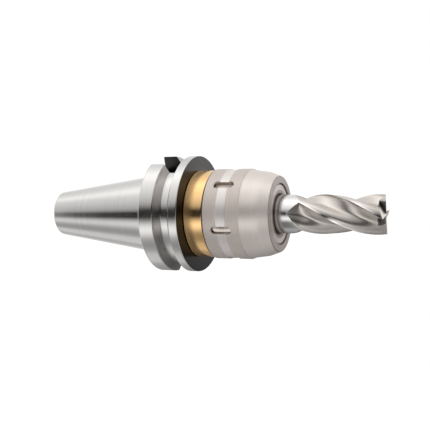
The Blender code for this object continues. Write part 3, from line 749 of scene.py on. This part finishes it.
def slot_path(grow):
    """Round-ended spanner slot seen along the radius, as (along the turn, along the axis)."""
    half = SPANNER_SLOT_WIDTH / 2 + grow
    straight = SPANNER_SLOT_LENGTH / 2 - SPANNER_SLOT_WIDTH / 2
    points = []
    for end, start in ((straight, 0.0), (-straight, math.pi)):
        for step in range(13):
            angle = start + math.pi * step / 12
            points.append((half * math.cos(angle), end + half * math.sin(angle)))
    return points


def spanner_slot_cutter(number):
    """Cutter of one spanner slot, with a fillet at its floor and a chamfer at its rim."""
    turn = Matrix.Rotation(SPANNER_SLOT_ANGLE + 2 * math.pi * number / SPANNER_SLOTS, 4, "Z")
    floor = NUT_RADIUS - SPANNER_SLOT_DEPTH
    depths = [(floor, -0.5), (floor + 0.15, -0.2), (floor + 0.5, 0.0), (NUT_RADIUS - SLOT_RIM, 0.0),
              (NUT_RADIUS + 0.1, SLOT_RIM + 0.1), (NUT_RADIUS + 4, SLOT_RIM + 0.1)]
    layers = []
    for depth, grow in depths:
        layers.append([turn @ (Vector((depth, across, SPANNER_SLOT_Z + rise)) * MM)
                       for across, rise in slot_path(grow)])
    return stacked("spanner_slot_cutter", layers)


def make_clamp_nut(nickel):
    nut = turned("clamp_nut_turned", nut_outline())
    carve(nut, [spanner_slot_cutter(i) for i in range(SPANNER_SLOTS)])
    dress(nut, nickel, "nut_nickel", "nut", "clamp_nut")


def make_nose_seal(rubber):
    """Wiper in the nut's lip, with a rounded inner edge."""
    low, high = 209.6, 211.2
    inner, outer = 25.0, 27.3
    outline = [(inner, low), (outer, low), (outer, high), (inner, high)]
    seal = turned("nose_seal_moulded", rounded(outline, [(0, 0.5), (3, 0.5)]), SEAL_TURN)
    dress(seal, rubber, "seal_rubber", "nut_slide", "nose_seal")


def flute_radius(share):
    """Radius over the mill's radius, at a share of one tooth's pitch from its cutting edge."""
    depth = 1 - CORE_RATIO
    heel = 1 - LAND_SHARE
    if share <= FLUTE_BOTTOM_SHARE:
        return 1 - depth * math.sqrt(math.sin(math.pi / 2 * share / FLUTE_BOTTOM_SHARE))
    if share <= heel:
        rise = (1 - math.cos(math.pi * (share - FLUTE_BOTTOM_SHARE) / (heel - FLUTE_BOTTOM_SHARE))) / 2
        return CORE_RATIO + (HEEL_RATIO - CORE_RATIO) * rise
    return HEEL_RATIO + (1 - HEEL_RATIO) * (share - heel) / LAND_SHARE


def tooth_shares():
    """Where a section's flute points lie along one tooth's pitch, closest at the cutting edge."""
    rake = [FLUTE_BOTTOM_SHARE * (i / 12) ** 2 for i in range(13)]
    heel = 1 - LAND_SHARE
    back = [FLUTE_BOTTOM_SHARE + (heel - FLUTE_BOTTOM_SHARE) * i / 12 for i in range(1, 13)]
    return rake + back


def tooth_points(opening, depth):
    """Points of one tooth as (share of the pitch, radius over the mill's radius).

    The flute narrows to the arrow's tip as its opening falls to 0, and the rest is round shank.
    A shallow flute is a plain scoop, and a deep one has its hook in front of the cutting edge.
    """
    start = ARROW_SHARE * (1 - opening)
    points = []
    for share in tooth_shares():
        across = share / (1 - LAND_SHARE)
        scoop = SCOOP_FULLNESS * across * (1 - across) * (1 - CORE_RATIO)
        cut = scoop + (1 - flute_radius(share) - scoop) * depth
        points.append((start + opening * share, 1 - cut * depth))
    heel = start + opening * (1 - LAND_SHARE)
    heel_radius = points[-1][1]
    for i in range(1, BACK_POINTS + 1):
        share = i / (BACK_POINTS + 1)
        points.append((heel + (1 + start - heel) * share, heel_radius + (1 - heel_radius) * share))
    return points


def flute_depth(height):
    """Share of the flute's full depth, which it reaches some way in front of its arrow tip."""
    arrow_tip = MILL_Z[1] - FLUTE_LENGTH + RUN_OUT - RUN_OUT_VISIBLE
    return math.sin(math.pi / 2 * min(1.0, (height - arrow_tip) / DEPTH_RUN))


def mill_rings():
    """Heights, twists, flute openings, flute depths and largest radii of the end mill's sections."""
    low, tip = MILL_Z
    full_depth = tip - FLUTE_LENGTH + RUN_OUT
    arrow_tip = full_depth - RUN_OUT_VISIBLE
    start_twist = TIP_EDGE_ANGLE - 2 * math.pi * (tip - full_depth) / LEAD
    narrow = 0.04
    rings = [(low, start_twist, narrow, 0.0, MILL_RADIUS - MILL_CHAMFER)]
    rings.append((low + MILL_CHAMFER, start_twist, narrow, 0.0, MILL_RADIUS))
    rings.append((arrow_tip - 0.05, start_twist, narrow, 0.0, MILL_RADIUS))
    rings.append((arrow_tip, start_twist, narrow, 0.0, MILL_RADIUS))
    for i in range(1, 13):
        share = i / 12
        height = arrow_tip + RUN_OUT_VISIBLE * share
        rings.append((height, start_twist, max(share, narrow), flute_depth(height), MILL_RADIUS))
    count = round((tip - full_depth) / SECTION_STEP)
    for i in range(1, count + 1):
        height = full_depth + (tip - full_depth) * i / count
        twist = start_twist + 2 * math.pi * (height - full_depth) / LEAD
        rings.append((height, twist, 1.0, flute_depth(height), MILL_RADIUS))
    return rings


def make_mill_blank():
    """The fluted mill with a flat end."""
    build = bmesh.new()
    pitch = 2 * math.pi / FLUTES
    rings = []
    for height, twist, opening, depth, limit in mill_rings():
        ring = []
        for tooth in range(FLUTES):
            for share, ratio in tooth_points(opening, depth):
                radius = min(limit, MILL_RADIUS * ratio)
                angle = twist + pitch * (tooth + share)
                ring.append(build.verts.new((radius * math.cos(angle) * MM, radius * math.sin(angle) * MM,
                                             height * MM)))
        rings.append(ring)
    for lower, upper in zip(rings, rings[1:]):
        for i in range(len(lower)):
            build.faces.new((lower[i - 1], lower[i], upper[i], upper[i - 1]))
    build.faces.new(rings[0])
    build.faces.new(rings[-1])
    return finish_mesh("end_mill_ground", build, 35)


def gash_cutter(number):
    """Cut in front of one cutting edge, whose floor falls from the web out to the flute."""
    turn = Matrix.Rotation(TIP_EDGE_ANGLE + 2 * math.pi * number / FLUTES, 4, "Z")
    tip = MILL_Z[1]
    profile = [(WEB_RADIUS - 2, tip + 2), (WEB_RADIUS + GASH_DEPTH, tip - GASH_DEPTH),
               (MILL_RADIUS + 3, tip - GASH_DEPTH), (MILL_RADIUS + 3, tip + 2)]
    layers = []
    for across, rise in ((0.05, 0.0), (GASH_WIDTH, 1.2)):
        layers.append([turn @ (Vector((along, across, height + rise)) * MM) for along, height in profile])
    return stacked("gash_cutter", layers)


def relief_cutter(number):
    """Wedge off the end behind one cutting edge, as far as the next tooth's gash."""
    turn = Matrix.Rotation(TIP_EDGE_ANGLE + 2 * math.pi * number / FLUTES, 4, "Z")
    tip = MILL_Z[1]
    reach = MILL_RADIUS + 3
    layers = []
    for along in (0.25, reach):
        side = [(0.0, tip), (0.0, tip + 2), (-reach, tip + 2), (-reach, tip - reach * RELIEF_SLOPE)]
        layers.append([turn @ (Vector((along, across, height)) * MM) for across, height in side])
    return stacked("relief_cutter", layers)


def make_end_mill(steel):
    mill = make_mill_blank()
    carve(mill, [gash_cutter(i) for i in range(FLUTES)] + [relief_cutter(i) for i in range(FLUTES)])
    dress(mill, steel, "mill_steel", "chuck", "end_mill")


def dress_inner_pieces(rubber):
    """Finishes of the solids inside the nut and the bore, which keep their shape."""
    spring = spring_steel()
    bronze = cage_bronze()
    lapped = lapped_steel()
    black = blackened_steel()
    finishes = {
        "rear_seal_ring": rubber,
        "screw_seal_ring": rubber,
        "stop_ring": spring,
        "keeper_ring": spring,
        "roller_cage": bronze,
        "preset_screw": black,
    }
    for name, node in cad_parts.items():
        material = lapped if name.startswith("roller_") and name != "roller_cage" else finishes.get(name)
        if material is None:
            continue
        for place in node.material_slots:
            place.material = material


def seen_rays(finish, *kinds):
    """1 for rays of these kinds, and 0 for the others."""
    path = finish.node("ShaderNodeLightPath")
    total = Value(finish, path.outputs[kinds[0]])
    for kind in kinds[1:]:
        total = total + Value(finish, path.outputs[kind])
    return total.lowest(1.0)


def make_floor():
    """White floor that keeps a faint shadow. Reflections look past it, to the tent."""
    finish = Finish("white_floor")
    glow = finish.node("ShaderNodeEmission", None, {"Color": (1, 1, 1, 1), "Strength": 1.2})
    paint = finish.node("ShaderNodeBsdfDiffuse", None, {"Color": (0.9, 0.9, 0.9, 1)})
    clear = finish.node("ShaderNodeBsdfTransparent")
    seen = finish.node("ShaderNodeMixShader", None, {
        0: seen_rays(finish, "Is Camera Ray", "Is Transmission Ray") * 0.8,
        1: paint.outputs[0], 2: glow.outputs[0]})
    whole = finish.node("ShaderNodeMixShader", None, {
        0: seen_rays(finish, "Is Glossy Ray"), 1: seen.outputs[0], 2: clear.outputs[0]})
    finish.feed(finish.surface, whole.outputs[0])
    build = bmesh.new()
    bmesh.ops.create_grid(build, x_segments=2, y_segments=2, size=4.0)
    floor = finish_mesh("studio_floor", build)
    floor.data.materials.append(finish.material)


def towards(angle):
    """Direction in the floor's plane that lies a turn in degrees from the viewer, clockwise from above."""
    azimuth = VIEWER_AZIMUTH - math.radians(angle)
    return math.cos(azimuth), math.sin(azimuth)


class Tent:
    """Places on the tent, by their turn from the viewer and their height in metres."""

    def __init__(self, finish):
        x, y, self.height = finish.axes()
        radius = finish.radius(x, y)
        self.east = x / radius
        self.north = y / radius

    def panel(self, angle, width, lean=0.0):
        """1 in the middle of an upright panel, and fading over its width in degrees.

        A panel that leans turns by so many degrees for each metre of height.
        """
        east, north = towards(angle)
        facing = self.east * east + self.north * north
        if lean:
            beside = self.east * north - self.north * east
            turn = (self.height + PANEL_FOOT) * math.radians(lean)
            facing = facing * turn.cosine() + beside * turn.sine()
        return ((facing - 1) * (1 / math.radians(width) ** 2)).exponent()

    def board(self, angle, width, lean=0.0):
        """A panel with an even middle."""
        return (self.panel(angle, width, lean) * 1.4).lowest(1.0)

    def over(self, height, depth):
        """0 below a height and 1 above it, over a depth in metres."""
        return ((self.height - height) / depth + 0.5).highest(0.0).lowest(1.0)


def tent_light(tent):
    """Brightness of the cloth and of the lit panels."""
    cloth = 0.38
    key = tent.panel(90, 45) * 0.64 + tent.panel(78, 11) * 0.34 + tent.panel(42, 16) * 0.10
    rear = tent.panel(165, 18) * 0.60
    fill = tent.panel(-31, 11, PANEL_LEAN) * 0.47
    low_fill = tent.board(-95, 12, PANEL_LEAN) * 0.43 + tent.panel(-160, 24) * 0.30
    low_fill = low_fill * (1 - tent.over(0.02, 0.2) * 0.8)
    high_fill = tent.panel(-60, 22) * tent.over(0.10, 0.2) * 0.42
    upper = tent.panel(62, 22) * 0.32 + tent.panel(-31, 11, PANEL_LEAN) * 0.45
    return key + rear + fill + low_fill + high_fill + cloth + upper * tent.over(-0.32, 0.25)


def tent_flags(tent, above_chuck):
    """Share of the light that the dark flags let through."""
    middle = tent.board(0, 9, PANEL_LEAN) * 0.95
    front = tent.board(0, 60) * (tent.over(0.58, 0.16) * 0.35 + 0.55)
    curtain = (tent.board(-150, 24) * 0.4).highest(front) * above_chuck
    underside = tent.board(-165, 24) * tent.over(-0.20, 0.12) * 0.62
    gap = tent.board(-68, 20) * tent.over(-0.06, 0.06) * (1 - tent.over(0.12, 0.1)) * 0.72
    return (1 - middle) * (1 - curtain) * (1 - underside) * (1 - gap)


def tent_wall():
    """Upright cylinder round the chuck, closed at its top."""
    build = bmesh.new()
    rings = []
    for height in TENT_Z:
        ring = []
        for i in range(TENT_SIDES):
            angle = 2 * math.pi * i / TENT_SIDES
            place = (TENT_RADIUS * math.cos(angle), TENT_RADIUS * math.sin(angle), height)
            ring.append(build.verts.new(place))
        rings.append(ring)
    for i in range(TENT_SIDES):
        build.faces.new((rings[0][i - 1], rings[0][i], rings[1][i], rings[1][i - 1]))
    build.faces.new(rings[1])
    return finish_mesh("light_tent", build)


def make_tent():
    """White cloth and dark flags round the chuck, which only reflections see."""
    finish = Finish("light_tent")
    tent = Tent(finish)
    above_chuck = tent.over(0.30, 0.12)
    rear_strip = tent.panel(174, 9) * above_chuck * 0.9
    glow = tent_light(tent) * tent_flags(tent, above_chuck) + rear_strip
    shine = finish.node("ShaderNodeEmission", None, {"Color": (1, 1, 1, 1), "Strength": glow})
    finish.feed(finish.surface, shine.outputs[0])
    finish.material.cycles.emission_sampling = "NONE"
    wall = tent_wall()
    wall.data.materials.append(finish.material)
    wall.visible_camera = False
    wall.visible_diffuse = False
    wall.visible_shadow = False
    wall.visible_transmission = False


def make_lamp(name, angle, rise, distance, size, power):
    """Soft lamp at a turn and a rise in degrees from the viewer, pointed at the chuck's middle."""
    lamp = bpy.data.lights.new(name, "AREA")
    lamp.shape = "DISK"
    lamp.size = size
    lamp.energy = power
    holder = bpy.data.objects.new(name, lamp)
    bpy.context.collection.objects.link(holder)
    east, north = towards(angle)
    flat = math.cos(math.radians(rise))
    direction = Vector((east * flat, north * flat, math.sin(math.radians(rise))))
    holder.location = Vector((0, 0, 0.15)) + direction * distance
    holder.rotation_euler = direction.to_track_quat("Z", "Y").to_euler()
    holder.visible_glossy = False


def make_world():
    """White surroundings for what the camera and reflections see, and a plain level of light."""
    world = bpy.data.worlds.new("studio")
    bpy.context.scene.world = world
    world.use_nodes = True
    tree = world.node_tree
    tree.nodes.clear()
    path = tree.nodes.new("ShaderNodeLightPath")
    camera_or_glossy = tree.nodes.new("ShaderNodeMath")
    camera_or_glossy.operation = "MAXIMUM"
    seen = tree.nodes.new("ShaderNodeMath")
    seen.operation = "MAXIMUM"
    plain = tree.nodes.new("ShaderNodeBackground")
    white = tree.nodes.new("ShaderNodeBackground")
    both = tree.nodes.new("ShaderNodeMixShader")
    out = tree.nodes.new("ShaderNodeOutputWorld")
    plain.inputs["Strength"].default_value = 0.32
    white.inputs["Strength"].default_value = 1.0
    for shader in (plain, white):
        shader.inputs["Color"].default_value = (1, 1, 1, 1)
    tree.links.new(path.outputs["Is Camera Ray"], camera_or_glossy.inputs[0])
    tree.links.new(path.outputs["Is Glossy Ray"], camera_or_glossy.inputs[1])
    tree.links.new(camera_or_glossy.outputs[0], seen.inputs[0])
    tree.links.new(path.outputs["Is Transmission Ray"], seen.inputs[1])
    tree.links.new(seen.outputs[0], both.inputs[0])
    tree.links.new(plain.outputs[0], both.inputs[1])
    tree.links.new(white.outputs[0], both.inputs[2])
    tree.links.new(both.outputs[0], out.inputs["Surface"])


def make_camera():
    """The photograph's view: the tool axis lies across the picture and leans towards the viewer."""
    lean, roll = AXIS_TOWARDS_VIEWER, AXIS_ROLL
    axis = Vector((math.cos(lean) * math.cos(roll), math.cos(lean) * math.sin(roll), math.sin(lean)))
    across = axis.cross(Vector((0, 1, 0))).normalized()
    rise = across.cross(axis)
    facing = Vector((math.cos(VIEWER_AZIMUTH), math.sin(VIEWER_AZIMUTH), 0))
    upward = facing.cross(Vector((0, 0, 1)))
    camera_frame = Matrix((axis, rise, across))
    world_frame = Matrix((Vector((0, 0, 1)), upward, facing)).transposed()
    turn = world_frame @ camera_frame
    gauge = Vector((-VIEW_SIDE, VIEW_RISE, -VIEW_DISTANCE)) * MM
    lens = bpy.data.cameras.new("photo_view")
    lens.lens = VIEW_LENS
    lens.sensor_width = 36.0
    camera = bpy.data.objects.new("photo_view", lens)
    bpy.context.collection.objects.link(camera)
    place = turn.to_4x4()
    place.translation = Vector((0, 0, GAUGE_Z * MM)) - turn @ gauge
    camera.matrix_world = place
    bpy.context.scene.camera = camera


def main():
    rubber = dark_rubber()
    make_chuck_body(chuck_steel())
    make_backing_ring(polished_brass())
    make_clamp_nut(blasted_nickel())
    make_nose_seal(rubber)
    make_end_mill(mill_steel())
    dress_inner_pieces(rubber)
    make_floor()
    make_tent()
    make_lamp("key_lamp", 75, 25, 1.0, 0.6, 4.8)
    make_lamp("fill_lamp", -24, 20, 1.1, 0.7, 1.5)
    make_lamp("nose_lamp", 10, 62, 1.0, 0.5, 2.6)
    make_world()
    make_camera()
    bpy.context.scene.view_settings.view_transform = "Standard"


main()
